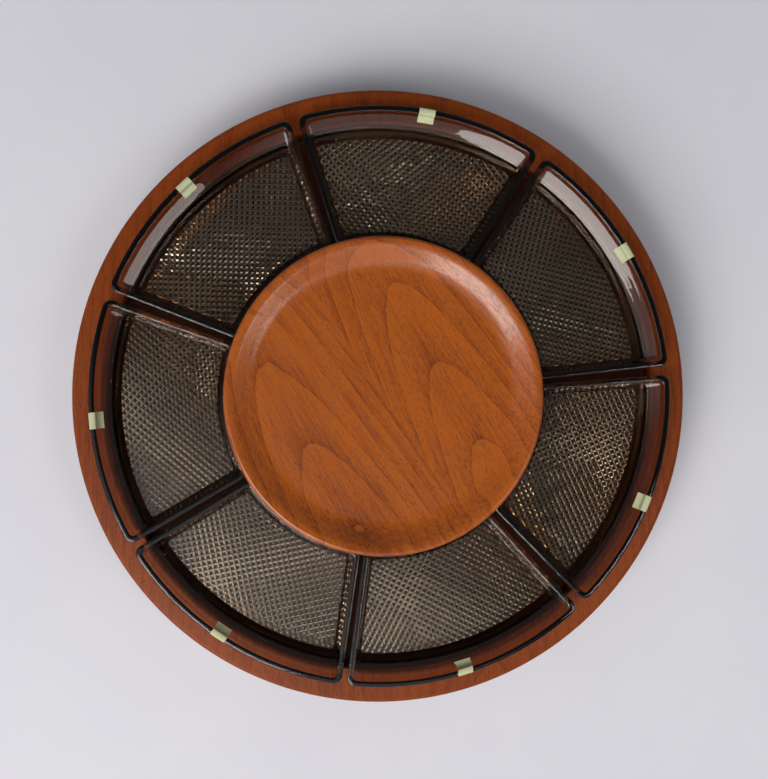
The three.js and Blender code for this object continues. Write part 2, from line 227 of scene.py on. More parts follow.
def settle(obj, material, body, slot, *nodes):
    """Gives a finished piece its material and body, and hides the CAD nodes it stands for; slot is not
    used.
    """
    obj.data.materials.clear()
    obj.data.materials.append(material)
    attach(obj, body)
    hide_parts(*nodes)


# ------------------------------------------------------------------ node helpers
class Shader:
    """Short calls for building one material's nodes."""

    def __init__(self, name):
        self.material = bpy.data.materials.new(name)
        self.material.use_nodes = True
        self.tree = self.material.node_tree
        self.tree.nodes.clear()
        self.output = self.tree.nodes.new("ShaderNodeOutputMaterial")

    def put(self, value, socket):
        if isinstance(value, bpy.types.NodeSocket):
            self.tree.links.new(value, socket)
        else:
            socket.default_value = value

    def node(self, kind, inputs=None, **settings):
        node = self.tree.nodes.new("ShaderNode" + kind)
        for key, value in settings.items():
            setattr(node, key, value)
        for key, value in (inputs or {}).items():
            self.put(value, node.inputs[key])
        return node

    def math(self, operation, *values, clamp=False):
        node = self.node("Math", operation=operation, use_clamp=clamp)
        for i, value in enumerate(values):
            self.put(value, node.inputs[i])
        return node.outputs[0]

    def length(self, one, two):
        squares = self.math("ADD", self.math("POWER", one, 2.0), self.math("POWER", two, 2.0))
        return self.math("SQRT", squares)

    def stretch(self, vector, x, y, z):
        node = self.node("VectorMath", operation="MULTIPLY")
        self.put(vector, node.inputs[0])
        node.inputs[1].default_value = (x, y, z)
        return node.outputs[0]

    def noise(self, vector, scale=1.0, detail=2.0, roughness=0.5, distortion=0.0):
        node = self.node("TexNoise", {
            "Vector": vector, "Scale": scale, "Detail": detail,
            "Roughness": roughness, "Distortion": distortion,
        })
        return node.outputs["Fac"]

    def remap(self, value, from_low, from_high, to_low=0.0, to_high=1.0):
        node = self.node("MapRange", {
            "Value": value, "From Min": from_low, "From Max": from_high,
            "To Min": to_low, "To Max": to_high,
        })
        return node.outputs["Result"]

    def blend(self, factor, one, two, mode="MIX"):
        node = self.node("Mix", data_type="RGBA", blend_type=mode)
        for value, socket in ((factor, node.inputs[0]), (one, node.inputs[6]), (two, node.inputs[7])):
            self.put(value, socket)
        return node.outputs[2]

    def bump(self, height, strength, distance):
        node = self.node("Bump", {"Height": height, "Strength": strength, "Distance": distance})
        return node.outputs["Normal"]

    def millimetres(self, turn_deg=0.0):
        """The object's own coordinates in millimetres, turned about Z."""
        coords = self.node("TexCoord").outputs["Object"]
        mapping = self.node("Mapping", {"Vector": coords})
        mapping.inputs["Rotation"].default_value = (0, 0, math.radians(-turn_deg))
        mapping.inputs["Scale"].default_value = (1 / MM, 1 / MM, 1 / MM)
        return mapping.outputs["Vector"]

    def principled(self, **inputs):
        node = self.node("BsdfPrincipled", {k.replace("_", " "): v for k, v in inputs.items()})
        self.tree.links.new(node.outputs["BSDF"], self.output.inputs["Surface"])
        return node


# ------------------------------------------------------------------ materials
def teak(name, light, dark, pore, grain_deg, boards, seed, ring=5.0, tilt=0.0926, pith=58.0,
         glue_line=(0.0, 0.0), fan=0.0, contrast=1.0, pore_amount=1.0, shine=0.25, dullness=0.42,
         painted_recess_shade=1.0):
    """Oiled teak, with its grain at grain_deg in plan.

    Growth rings are slightly conical shells round a pith well below the surface, so a
    flat face shows nested arches. boards gives, for the boards left and right of the glue
    line, how far across the pith lies and how far the rings are shifted along the grain.
    pith is how far it lies below the table. fan is how much the grain spreads per
    millimetre, away from the arches' tips. The recess shade argument is painted shade: it darkens
    the colour of the tray teak inside the recess, below its rim, where shade falls under and between the
    dishes.
    """
    s = Shader(name)
    spot = s.millimetres(grain_deg - 90)
    across, along, depth = s.node("SeparateXYZ", {"Vector": spot}).outputs
    joint = s.math("MULTIPLY_ADD", along, glue_line[1], glue_line[0])
    right = s.math("GREATER_THAN", across, joint)
    (left_pith, left_shift), (right_pith, right_shift) = boards
    pith_across = s.remap(right, 0, 1, left_pith, right_pith)
    shift = s.remap(right, 0, 1, left_shift, right_shift)
    spread = s.math("MAXIMUM", s.math("MULTIPLY_ADD", along, -fan, 1.0 + 50 * fan), 0.4)
    sideways = s.math("SUBTRACT", across, pith_across)
    grain = s.node("CombineXYZ", {
        "X": s.math("ADD", s.math("DIVIDE", sideways, spread), pith_across),
        "Y": along,
        "Z": s.math("MULTIPLY_ADD", right, 40.0, depth),
    }).outputs[0]
    wander = s.noise(s.stretch(grain, 0.016, 0.005, 0.016), detail=2, distortion=0.3)
    ripple = s.noise(s.stretch(grain, 0.11, 0.02, 0.11), detail=3, roughness=0.6)
    below = s.math("MULTIPLY_ADD", s.math("SUBTRACT", along, shift), tilt, pith)
    below = s.math("ADD", below, s.math("MULTIPLY", depth, 0.35))
    radius = s.length(sideways, below)
    radius = s.math("ADD", radius, s.math("MULTIPLY", wander, 2.6))
    radius = s.math("ADD", radius, s.math("MULTIPLY", ripple, 0.8))
    season = s.math("FRACT", s.math("DIVIDE", radius, ring))
    late = s.math("POWER", s.math("SUBTRACT", 1.0, season), 1.4)
    edge = s.remap(season, 0.0, 0.09, 1.0, 0.0)

    streaks = s.noise(s.stretch(grain, 0.9, 0.03, 0.9), detail=4, roughness=0.65)
    fibres = s.noise(s.stretch(grain, 3.2, 0.16, 3.2), detail=3, roughness=0.7)
    clouds = s.noise(s.stretch(grain, 0.03, 0.008, 0.03), scale=1.0 + 0.1 * seed, detail=3)

    cells = s.node("TexVoronoi", {"Vector": s.stretch(grain, 1.5, 0.2, 1.5), "Scale": 1.0})
    crowd = s.math("MULTIPLY_ADD", late, 0.08, 0.24 * pore_amount)
    gap = s.math("SUBTRACT", crowd, cells.outputs["Distance"])
    pores = s.remap(gap, -0.05, 0.12)

    shade = s.math("MULTIPLY_ADD", late, 0.42 * contrast, s.math("MULTIPLY", edge, 0.3 * contrast))
    shade = s.math("ADD", shade, s.remap(streaks, 0.25, 0.75, -0.5, 0.5))
    shade = s.math("ADD", shade, s.remap(fibres, 0.25, 0.75, -0.34, 0.34))
    shade = s.math("ADD", shade, s.remap(clouds, 0.3, 0.7, -0.22, 0.3), clamp=True)
    wood = s.blend(shade, light, dark)
    colour = s.blend(s.math("MULTIPLY", pores, 0.5), wood, pore)
    # Painted shade: the teak inside the recess, below the rim, is multiplied darker where shade falls
    # under and between the dishes.
    if painted_recess_shade < 1:
        within = s.remap(s.length(across, along), RECESS_TOP - 0.2, RECESS_WALL + 0.4)
        sunk = s.remap(depth, RIM_TOP - 1, RIM_TOP - 3)
        above = s.math("GREATER_THAN", depth, TRAY_FLOOR - 1.0)
        inside = s.math("MULTIPLY", s.math("MULTIPLY", within, sunk), above)
        colour = s.blend(inside, colour, (painted_recess_shade, painted_recess_shade, painted_recess_shade, 1), "MULTIPLY")
    height = s.math("SUBTRACT", s.math("MULTIPLY", fibres, 0.35), pores)
    normal = s.bump(height, 0.35, 0.00012)
    roughness = s.remap(streaks, 0.2, 0.8, dullness - 0.06, dullness + 0.08)
    s.principled(Base_Color=colour, Roughness=roughness, IOR=1.4, Specular_IOR_Level=shine,
                 Normal=normal)
    return s.material


def smoked_glass():
    """Grey-green pressed glass: the tint is in its thickness, with a faint ripple on top."""
    s = Shader("smoked_glass")
    spot = s.millimetres()
    ripple = s.noise(spot, scale=0.09, detail=2)
    normal = s.bump(ripple, 0.12, 0.0006)
    s.principled(Base_Color=(1, 1, 1, 1), Transmission_Weight=1.0, Roughness=0.015, IOR=1.5,
                 Normal=normal)
    tint = s.node("VolumeAbsorption", {"Color": (0.57, 0.34, 0.02, 1), "Density": 230.0})
    s.tree.links.new(tint.outputs["Volume"], s.output.inputs["Volume"])
    return s.material


def sheet_steel():
    """Zinc-plated pressed sheet: cool grey, with spangle and faint drawing marks."""
    s = Shader("pressed_steel")
    spot = s.millimetres()
    spangle = s.node("TexVoronoi", {"Vector": spot, "Scale": 0.35}).outputs["Color"]
    marks = s.noise(s.stretch(spot, 0.2, 4.0, 0.2), detail=4, roughness=0.6)
    colour = s.blend(s.remap(spangle, 0, 1, 0, 0.5), (0.60, 0.61, 0.63, 1), (0.47, 0.49, 0.52, 1))
    s.principled(Base_Color=colour, Metallic=1.0, Roughness=s.remap(marks, 0.2, 0.8, 0.24, 0.42),
                 Normal=s.bump(marks, 0.15, 0.0001))
    return s.material


def metal(name, colour, dull, roughness):
    """Turned or stamped metal with a slightly uneven, hand-worn finish."""
    s = Shader(name)
    spot = s.millimetres()
    tarnish = s.noise(spot, scale=0.5, detail=4, roughness=0.6)
    scratches = s.noise(s.stretch(spot, 1.0, 1.0, 9.0), detail=2)
    tone = s.blend(s.remap(tarnish, 0.35, 0.75), colour, dull)
    s.principled(Base_Color=tone, Metallic=1.0,
                 Roughness=s.remap(tarnish, 0.3, 0.7, roughness * 0.7, roughness * 1.4),
                 Normal=s.bump(scratches, 0.08, 0.00005))
    return s.material


def felt():
    s = Shader("green_felt")
    spot = s.millimetres()
    fuzz = s.noise(spot, scale=3.0, detail=5, roughness=0.7, distortion=1.2)
    mottle = s.noise(spot, scale=0.5, detail=2)
    tone = s.blend(s.remap(fuzz, 0.3, 0.7), (0.022, 0.034, 0.016, 1), (0.062, 0.085, 0.042, 1))
    tone = s.blend(s.remap(mottle, 0.4, 0.8, 0, 0.4), tone, (0.05, 0.05, 0.04, 1))
    s.principled(Base_Color=tone, Roughness=0.95, Sheen_Weight=0.6, Normal=s.bump(fuzz, 0.8, 0.0004))
    return s.material


def paper_tape():
    """Thin cream masking paper: creped across, a little see-through."""
    s = Shader("paper_tape")
    spot = s.millimetres()
    crepe = s.noise(s.stretch(spot, 1.6, 1.6, 1.6), detail=4, roughness=0.65, distortion=0.6)
    stain = s.noise(spot, scale=0.16, detail=3)
    tone = s.blend(s.remap(crepe, 0.3, 0.75), (0.66, 0.68, 0.42, 1), (0.52, 0.54, 0.31, 1))
    tone = s.blend(s.remap(stain, 0.45, 0.75, 0, 0.35), tone, (0.46, 0.44, 0.26, 1))
    s.principled(Base_Color=tone, Roughness=0.8, Alpha=0.9, Normal=s.bump(crepe, 0.5, 0.00015))
    return s.material


def table_paper():
    """The pale, slightly lavender surface it stands on."""
    s = Shader("table_surface")
    spot = s.millimetres()
    mottle = s.noise(spot, scale=0.006, detail=4, roughness=0.55)
    tooth = s.noise(spot, scale=1.5, detail=3)
    tone = s.blend(s.remap(mottle, 0.3, 0.7), (0.73, 0.735, 0.80, 1), (0.78, 0.78, 0.84, 1))
    s.principled(Base_Color=tone, Roughness=0.75, Normal=s.bump(tooth, 0.15, 0.0001))
    return s.material


# The tray's teak gets painted shade in its recess, under and between the dishes.
TRAY_TEAK = teak(
    "teak_tray", light=(0.250, 0.049, 0.006, 1), dark=(0.120, 0.019, 0.002, 1),
    pore=(0.03, 0.005, 0.001, 1), grain_deg=92, boards=((-70, 30), (64, -12)), seed=1,
    contrast=0.7, painted_recess_shade=0.15)
PLATE_TEAK = teak(
    "teak_plate", light=(0.44, 0.102, 0.009, 1), dark=(0.200, 0.036, 0.003, 1),
    pore=(0.06, 0.009, 0.001, 1), grain_deg=119, boards=((-56, -10.1), (37, -5.8)), seed=2,
    pith=35.2, glue_line=(-0.8, -0.078), fan=0.004, contrast=0.9, pore_amount=1.2,
    shine=0.8, dullness=0.2)
BASE_TEAK = teak(
    "teak_base", light=(0.26, 0.085, 0.022, 1), dark=(0.12, 0.032, 0.009, 1),
    pore=(0.03, 0.008, 0.004, 1), grain_deg=20, boards=((-60, 0), (50, 25)), seed=3,
    contrast=0.8)
SMOKED_GLASS = smoked_glass()
PRESSED_STEEL = sheet_steel()
BALL_STEEL = metal("ball_steel", (0.78, 0.78, 0.79, 1), (0.66, 0.66, 0.68, 1), 0.08)
CAGE_BRASS = metal("cage_brass", (0.70, 0.50, 0.20, 1), (0.46, 0.31, 0.13, 1), 0.3)
SCREW_BRASS = metal("screw_brass", (0.66, 0.47, 0.20, 1), (0.36, 0.25, 0.12, 1), 0.35)
GREEN_FELT = felt()
PAPER_TAPE = paper_tape()


# ------------------------------------------------------------------ fasteners
HEAD_RADIUS, HEAD_HEIGHT, HEAD_EDGE, SHANK_RADIUS = 3.3, 1.8, 0.25, 1.5
THREAD_PITCH, THREAD_DEPTH = 1.3, 0.45
SLOT_WIDTH, SLOT_DEPTH = 0.9, 0.9
TIP_LENGTH = 3.2


def wood_screw(name, length):
    """A slotted round-head wood screw, head up, with the underside of its head at z = 0."""
    sides, steps_per_turn = 28, 8
    plain = length * 0.3
    steps = int(length / THREAD_PITCH * steps_per_turn)
    rings = []
    for step in range(steps + 1):
        z = -length + length * step / steps
        taper = min(1.0, 0.12 + (z + length) / TIP_LENGTH)
        ring = []
        for i in range(sides):
            angle = FULL_TURN * i / sides
            crest = abs(((z / THREAD_PITCH - i / sides) % 1) * 2 - 1)
            groove = THREAD_DEPTH * (1 - crest ** 2) if z < -plain else 0
            radius = (SHANK_RADIUS - groove) * taper
            ring.append((radius * math.cos(angle), radius * math.sin(angle), z))
        rings.append(ring)
    dome = [(HEAD_RADIUS, 0), (HEAD_RADIUS, HEAD_EDGE)]
    dome += [(HEAD_RADIUS * math.cos(a), HEAD_EDGE + (HEAD_HEIGHT - HEAD_EDGE) * math.sin(a))
             for a in (math.radians(d) for d in range(10, 90, 10))]
    dome.append((0.08, HEAD_HEIGHT))
    for r, z in dome:
        rings.append([(r * math.cos(FULL_TURN * i / sides), r * math.sin(FULL_TURN * i / sides), z)
                      for i in range(sides)])
    screw = loft(name, rings, sharp_deg=40)
    slot = block((0, 0, HEAD_HEIGHT), (3 * HEAD_RADIUS, SLOT_WIDTH, 2 * SLOT_DEPTH))
    return combine(screw, [slot], "DIFFERENCE", 40)


def add_screws(prefix, places, length, level, head_down, body):
    pattern = wood_screw(prefix + "_pattern", length)
    for i, (x, y) in enumerate(places):
        screw = bpy.data.objects.new(f"{prefix}_{i + 1}_brass", pattern.data)
        bpy.context.scene.collection.objects.link(screw)
        place(screw, x, y, level, turn_x=math.pi if head_down else 0, turn_z=0.7 + 1.9 * i)
        settle(screw, SCREW_BRASS, body, "screw_brass", f"{prefix}_{i + 1}")
    bpy.data.objects.remove(pattern)


BALLS = around(BALL_COUNT, BALL_CIRCLE, 15)
LOWER_SCREWS = around(4, SCREW_CIRCLE, 45)
UPPER_SCREWS = around(4, SCREW_CIRCLE, 0)
PEDESTAL_SCREWS = around(3, PEDESTAL_SCREW_CIRCLE, 30)
PILOT_RADIUS = SHANK_RADIUS + 0.3


# ------------------------------------------------------------------ base
def add_base():
    edge_round, hole_radius, chamfer = 3.5, 11, 1.2
    base = lathe("base_turned", filleted([
        (0, BASE_BOTTOM, 0), (BASE_RADIUS, BASE_BOTTOM, edge_round),
        (BASE_RADIUS, BASE_TOP, edge_round), (0, BASE_TOP, 0),
    ]))
    holes = [
        lathe("rivet_hole", [
            (0, BASE_BOTTOM - 2), (hole_radius + chamfer, BASE_BOTTOM - 2),
            (hole_radius + chamfer, BASE_BOTTOM), (hole_radius, BASE_BOTTOM + chamfer),
            (hole_radius, BASE_TOP + 1), (0, BASE_TOP + 1),
        ], 64),
        post(SCREW_CIRCLE, 0, ACCESS_RADIUS, BASE_BOTTOM - 1, BASE_TOP + 1, 48),
    ]
    holes += [post(x, y, PILOT_RADIUS, BASE_TOP - 10.8, BASE_TOP + 1) for x, y in LOWER_SCREWS]
    combine(base, holes, "DIFFERENCE")
    settle(base, BASE_TEAK, "base", "teak_base", "base_disc")
    for i, (x, y) in enumerate(around(4, PAD_CIRCLE, 45)):
        pad = felt_pad(f"felt_pad_{i + 1}", seed=i)
        place(pad, x, y)
        settle(pad, GREEN_FELT, "base", "felt", f"base_pad_{i + 1}")


def felt_pad(name, seed):
    """A stamped felt disc: slightly dished underneath, with an uneven soft edge."""
    draw = random.Random(seed)
    sides = 72
    wobble = [draw.uniform(-0.12, 0.0) for _ in range(sides)]
    profile = filleted([(0.5, 0.12, 0), (PAD_RADIUS - 2.5, 0.0, 3), (PAD_RADIUS, 0.0, 0.5),
                        (PAD_RADIUS, PAD_HEIGHT, 0.5), (0.5, PAD_HEIGHT, 0)], 6)
    rings = []
    for r, z in profile:
        rings.append([((r + wobble[i] * r / PAD_RADIUS) * math.cos(FULL_TURN * i / sides),
                       (r + wobble[i] * r / PAD_RADIUS) * math.sin(FULL_TURN * i / sides), z)
                      for i in range(sides)])
    return loft(name, rings, sharp_deg=60)


# ------------------------------------------------------------------ swivel bearing
def race_plate(name):
    """One pressed race plate, groove up, lying on z = 0."""
    shoulder, foot = 3.2, 5.5
    groove_radius = BALL_RADIUS + 0.35
    groove = arc((BALL_CIRCLE, 4.5), groove_radius, math.radians(-45), math.radians(-135), 14)
    inner_lip = RACE_HEIGHT - RACE_SHEET - 0.2
    outline = filleted([
        (RIVET_RADIUS + 0.5, 0, 0), (BALL_CIRCLE - foot + 0.4, 0, 1.2),
        (BALL_CIRCLE - shoulder, inner_lip, 0.8), (BALL_CIRCLE - 1.2, 0, 1.0),
        (BALL_CIRCLE + 1.2, 0, 1.0), (BALL_CIRCLE + shoulder, inner_lip, 0.8),
        (BALL_CIRCLE + foot - 0.4, 0, 1.2), (RACE_RADIUS, 0, 0.25), (RACE_RADIUS, RACE_SHEET, 0.25),
        (BALL_CIRCLE + foot, RACE_SHEET, 1.2), (BALL_CIRCLE + shoulder + 0.3, RACE_HEIGHT, 0.3),
        (groove[0][0], RACE_HEIGHT, 0),
    ], 5)
    outline += groove
    outline += filleted([
        (groove[-1][0], RACE_HEIGHT, 0), (BALL_CIRCLE - shoulder - 0.3, RACE_HEIGHT, 0.3),
        (BALL_CIRCLE - foot, RACE_SHEET, 1.2), (RIVET_RADIUS + 0.5, RACE_SHEET, 0),
    ], 5)
    plate = lathe(name, outline, 192, ring=True)
    (between,) = around(1, SCREW_CIRCLE, -45)
    holes = [post(x, y, PILOT_RADIUS, -1, RACE_SHEET + 1) for x, y in UPPER_SCREWS]
    holes.append(post(*between, RACE_ACCESS_RADIUS, -1, RACE_SHEET + 1, 48))
    return combine(plate, holes, "DIFFERENCE")


def ball_cage():
    """The ring that spaces the balls, with turned-up edges and round pockets."""
    half, thick, lip = 4.6, 0.5, 0.6
    inner, outer = BALL_CIRCLE - half, BALL_CIRCLE + half
    low_z, high_z = BALL_LEVEL - lip, BALL_LEVEL + lip
    web_low, web_high = BALL_LEVEL - thick / 2, BALL_LEVEL + thick / 2
    outline = filleted([
        (inner, low_z, 0.2), (inner + thick, low_z, 0.1), (inner + thick, web_low, 0.2),
        (outer - thick, web_low, 0.2), (outer - thick, low_z, 0.1), (outer, low_z, 0.2),
        (outer, high_z, 0.2), (outer - thick, high_z, 0.1), (outer - thick, web_high, 0.2),
        (inner + thick, web_high, 0.2), (inner + thick, high_z, 0.1), (inner, high_z, 0.2),
    ], 3)
    cage = lathe("cage_ring", outline, 192, ring=True)
    pockets = [post(x, y, BALL_RADIUS + 0.3, BALL_LEVEL - 2, BALL_LEVEL + 2, 48) for x, y in BALLS]
    return combine(cage, pockets, "DIFFERENCE")


def bearing_ball(name):
    """A ball as a subdivided cube pushed out to the sphere, so it has no poles."""
    mesh = bpy.data.meshes.new(name)
    bm = bmesh.new()
    bmesh.ops.create_cube(bm, size=2)
    bmesh.ops.subdivide_edges(bm, edges=bm.edges, cuts=11, use_grid_fill=True)
    for vert in bm.verts:
        vert.co = vert.co.normalized() * (BALL_RADIUS * MM)
    bm.to_mesh(mesh)
    bm.free()
    finish_shading(mesh, 60)
    obj = bpy.data.objects.new(name, mesh)
    bpy.context.scene.collection.objects.link(obj)
    return obj


def add_bearing():
    lower = place(race_plate("race_lower"), z=LOWER_RACE, turn_z=math.pi / 4)
    settle(lower, PRESSED_STEEL, "base", "pressed_steel", "lower_race")
    upper = place(race_plate("race_upper"), z=UPPER_RACE, turn_x=math.pi)
    settle(upper, PRESSED_STEEL, "turntable", "pressed_steel", "upper_race")
    settle(ball_cage(), CAGE_BRASS, "cage", "cage_brass", "ball_cage")
    for i, (x, y) in enumerate(BALLS):
        ball = place(bearing_ball(f"bearing_ball_{i + 1}"), x, y, BALL_LEVEL)
        settle(ball, BALL_STEEL, "cage", "ball_steel", f"ball_{i + 1}")

    rivet_bottom, rivet_top = low("pivot_rivet"), high("pivot_rivet")
    neck_low, neck_high = LOWER_RACE - SEAT_GAP, UPPER_RACE + 1.4
    rivet = lathe("rivet_turned", filleted([
        (0, rivet_bottom, 0), (7, rivet_bottom, 0.8), (8, rivet_bottom + 0.9, 0.5), (8, neck_low, 0.3),
        (RIVET_RADIUS, neck_low, 0.2), (RIVET_RADIUS, neck_high, 0.2), (6.5, neck_high, 0.3),
        (5.4, rivet_top - 0.5, 1.2), (1.6, rivet_top - 0.1, 1), (1.2, rivet_top - 0.6, 0.3),
        (0, rivet_top - 0.7, 0),
    ], 5), 96)
    settle(rivet, PRESSED_STEEL, "base", "pressed_steel", "pivot_rivet")
    washer_low, washer_high = low("pivot_washer"), high("pivot_washer")
    washer = lathe("washer_stamped", filleted([
        (RIVET_RADIUS + 0.3, washer_low, 0), (8.5, washer_low, 0.12), (8.5, washer_high, 0.3),
        (RIVET_RADIUS + 0.3, washer_high, 0),
    ], 4), 96, ring=True)
    settle(washer, PRESSED_STEEL, "base", "pressed_steel", "pivot_washer")

    add_screws("lower_screw", LOWER_SCREWS, 11, LOWER_RACE + RACE_SHEET + SEAT_GAP, False, "base")
    add_screws("upper_screw", UPPER_SCREWS, 8.5, UPPER_RACE - RACE_SHEET - SEAT_GAP, True, "turntable")


# ------------------------------------------------------------------ tray and pedestal
def add_tray():
    flat_radius, edge_height = 138, 9
    well_radius, well_depth = 10.5, 3.4      # room for the rivet's head
    pilot_depth, counterbore_depth = 7.5, 2.5
    run, rise = TRAY_RADIUS - flat_radius, RIM_TOP - edge_height - TRAY_BOTTOM
    underside = [(flat_radius + run * math.sin(a), TRAY_BOTTOM + rise * (1 - math.cos(a)))
                 for a in (math.radians(3 * i) for i in range(31))]
    inside = filleted([
        underside[-1] + (0,), (TRAY_RADIUS, RIM_TOP - 2.6, 3.2), (TRAY_RADIUS - 2.6, RIM_TOP - 1.5, 1.6),
        (RECESS_TOP, RIM_TOP, 0.8), (RECESS_WALL, TRAY_FLOOR, 1.8), (0, TRAY_FLOOR, 0),
    ])
    tray = lathe("tray_turned", [(0, TRAY_BOTTOM)] + underside + inside[1:], 320)
    holes = [post(0, 0, well_radius, TRAY_BOTTOM - 1, TRAY_BOTTOM + well_depth, 64)]
    holes += [post(x, y, PILOT_RADIUS, TRAY_BOTTOM - 1, TRAY_BOTTOM + pilot_depth)
              for x, y in UPPER_SCREWS]
    holes += [post(x, y, PILOT_RADIUS, TRAY_BOTTOM + 1, TRAY_FLOOR + 1) for x, y in PEDESTAL_SCREWS]
    holes += [post(x, y, HEAD_RADIUS + 0.8, TRAY_BOTTOM - 1, TRAY_BOTTOM + counterbore_depth, 40)
              for x, y in PEDESTAL_SCREWS]
    combine(tray, holes, "DIFFERENCE")
    settle(tray, TRAY_TEAK, "turntable", "teak_tray", "tray")

    bottom, neck = PEDESTAL_BOTTOM, PEDESTAL_NECK_RADIUS
    pedestal = lathe("pedestal_turned", filleted([
        (0, bottom, 0), (PEDESTAL_RADIUS, bottom, 0.5), (PEDESTAL_RADIUS - 0.8, bottom + 10.5, 5),
        (83, bottom + 14.5, 14), (neck, bottom + 16.8, 3), (neck, PEDESTAL_TOP, 0.8), (0, PEDESTAL_TOP, 0),
    ]), 192)
    pilots = [post(x, y, PILOT_RADIUS, bottom - 1, bottom + 11) for x, y in PEDESTAL_SCREWS]
    combine(pedestal, pilots, "DIFFERENCE")
    settle(pedestal, TRAY_TEAK, "turntable", "teak_tray", "pedestal")
    add_screws("pedestal_screw", PEDESTAL_SCREWS, 16, TRAY_BOTTOM + 2.2, True, "turntable")


# ------------------------------------------------------------------ centre plate
def add_plate():
    recess = PEDESTAL_NECK_RADIUS + 0.6
    plate = lathe("plate_turned", filleted([
        (0, PLATE_SEAT, 0), (recess, PLATE_SEAT, 0.5), (recess, PLATE_BOTTOM, 0.6),
        (79, PLATE_BOTTOM, 16), (93.5, PLATE_BOTTOM + 4.2, 14),
        (PLATE_RADIUS + 0.1, PLATE_BOTTOM + 10.5, 6), (PLATE_RADIUS - 0.3, PLATE_TOP - 1.5, 2.6),
        (96.2, PLATE_TOP + 0.1, 2.0), (92.4, PLATE_TOP - 0.2, 10.0), (81.4, PLATE_FLAT, 19.0),
        (0, PLATE_FLAT, 0),
    ], 12), 320)
    settle(plate, PLATE_TEAK, "plate", "teak_plate", "centre_plate")


# ------------------------------------------------------------------ glass dishes
def wedge(outer, inner, inset, corner, z):
    """A ring of points: a wedge with rounded corners, symmetric about +X, at height z."""
    side = DISH_HALF_ANGLE
    along = Vector((math.cos(side), math.sin(side)))
    across = Vector((-math.sin(side), math.cos(side)))
    off = inset + corner

    def corner_centre(distance):
        return along * math.sqrt(distance ** 2 - off ** 2) - across * off

    outer_corner, inner_corner = corner_centre(outer - corner), corner_centre(inner + corner)
    outer_end = math.atan2(outer_corner.y, outer_corner.x)
    inner_end = math.atan2(inner_corner.y, inner_corner.x)
    square = math.pi / 2 + side
    half = arc((0, 0), outer, 0, outer_end, 30)
    half += arc(outer_corner, corner, outer_end, square, 9)[1:]
    half += arc(inner_corner, corner, square, math.pi + inner_end, 9)
    half += arc((0, 0), inner, inner_end, 0, 20)[1:]
    mirrored = [(x, -y) for x, y in reversed(half[1:-1])]
    return [(x, y, z) for x, y in half + mirrored]


def spline_sections(keys, steps):
    """Sections between the key ones, on a Catmull-Rom curve through them."""
    sections = []
    for i in range(len(keys) - 1):
        before, one, two, after = (keys[max(0, min(len(keys) - 1, i + k))] for k in (-1, 0, 1, 2))
        for step in range(steps):
            t = step / steps
            sections.append(tuple(
                0.5 * (2 * b + (c - a) * t + (2 * a - 5 * b + 4 * c - d) * t * t
                       + (3 * b - a - 3 * c + d) * t ** 3)
                for a, b, c, d in zip(before, one, two, after)))
    sections.append(keys[-1])
    return sections


BEAD = 1.1                       # height of the rim's rounded top
GLASS_FLOOR = 3.4                # above the foot


def dish_walls():
    """Sections (outer, inner, inset, corner, z) up the outside, over the rim, down the inside."""
    outside = spline_sections([
        (168.3, 100.6, 3.4, 5.0, 0.5), (169.5, 98.9, 1.9, 5.8, 2.6), (170.4, 98.2, 1.3, 6.0, 7),
        (171.4, 97.8, 1.0, 6.0, 11.0), (173.2, 97.7, 0.9, 6.0, 12.3), (177.4, 97.5, 0.8, 6.0, 13.6),
        (178.4, 97.4, 0.7, 5.9, 14.2), (179.8, 97.2, 0.5, 5.8, 16.7), (181.2, 96.9, 0.3, 5.6, 19.4),
        (RIM_OUTER, RIM_INNER, 0, 5.5, DISH_HEIGHT - BEAD),
    ], 4)
    bead = []
    for step in range(1, 12):
        angle = math.pi * step / 12
        inward = LIP * (1 - math.cos(angle)) / 2
        bead.append((RIM_OUTER - inward, RIM_INNER + inward, inward, 5.5 - inward * 0.75,
                     DISH_HEIGHT - BEAD + BEAD * math.sin(angle) ** 0.5))
    inside = spline_sections([
        (RIM_OUTER - LIP, RIM_INNER + LIP, LIP, 3.0, DISH_HEIGHT - BEAD),
        (177.6, 100.5, 3.9, 3.1, 18.6), (176.6, 100.7, 4.0, 3.1, 17.3), (173.2, 101.0, 4.2, 3.2, 15.5),
        (170.0, 101.3, 4.5, 3.2, 13.8), (168.4, 101.6, 4.7, 3.3, 12.2), (167.3, 102.3, 5.2, 3.4, 8.8),
        (166.8, 103.2, 5.8, 3.4, 6.2), (165.4, 105.2, 7.3, 3.0, GLASS_FLOOR),
    ], 4)
    return outside, bead, inside


PITCH = 3.4                      # of the diamond texture
PIT_DEPTH = 1.04
PIT_MOUTH, PIT_END = 0.485, 0.21  # half widths, in pitches
PANEL_LEVEL = 0.8                # of the textured panel's underside, above the foot
PANEL = (166.6, 105.2, 6.4, 3.0)  # outer and inner radius, inset and corner of its outline


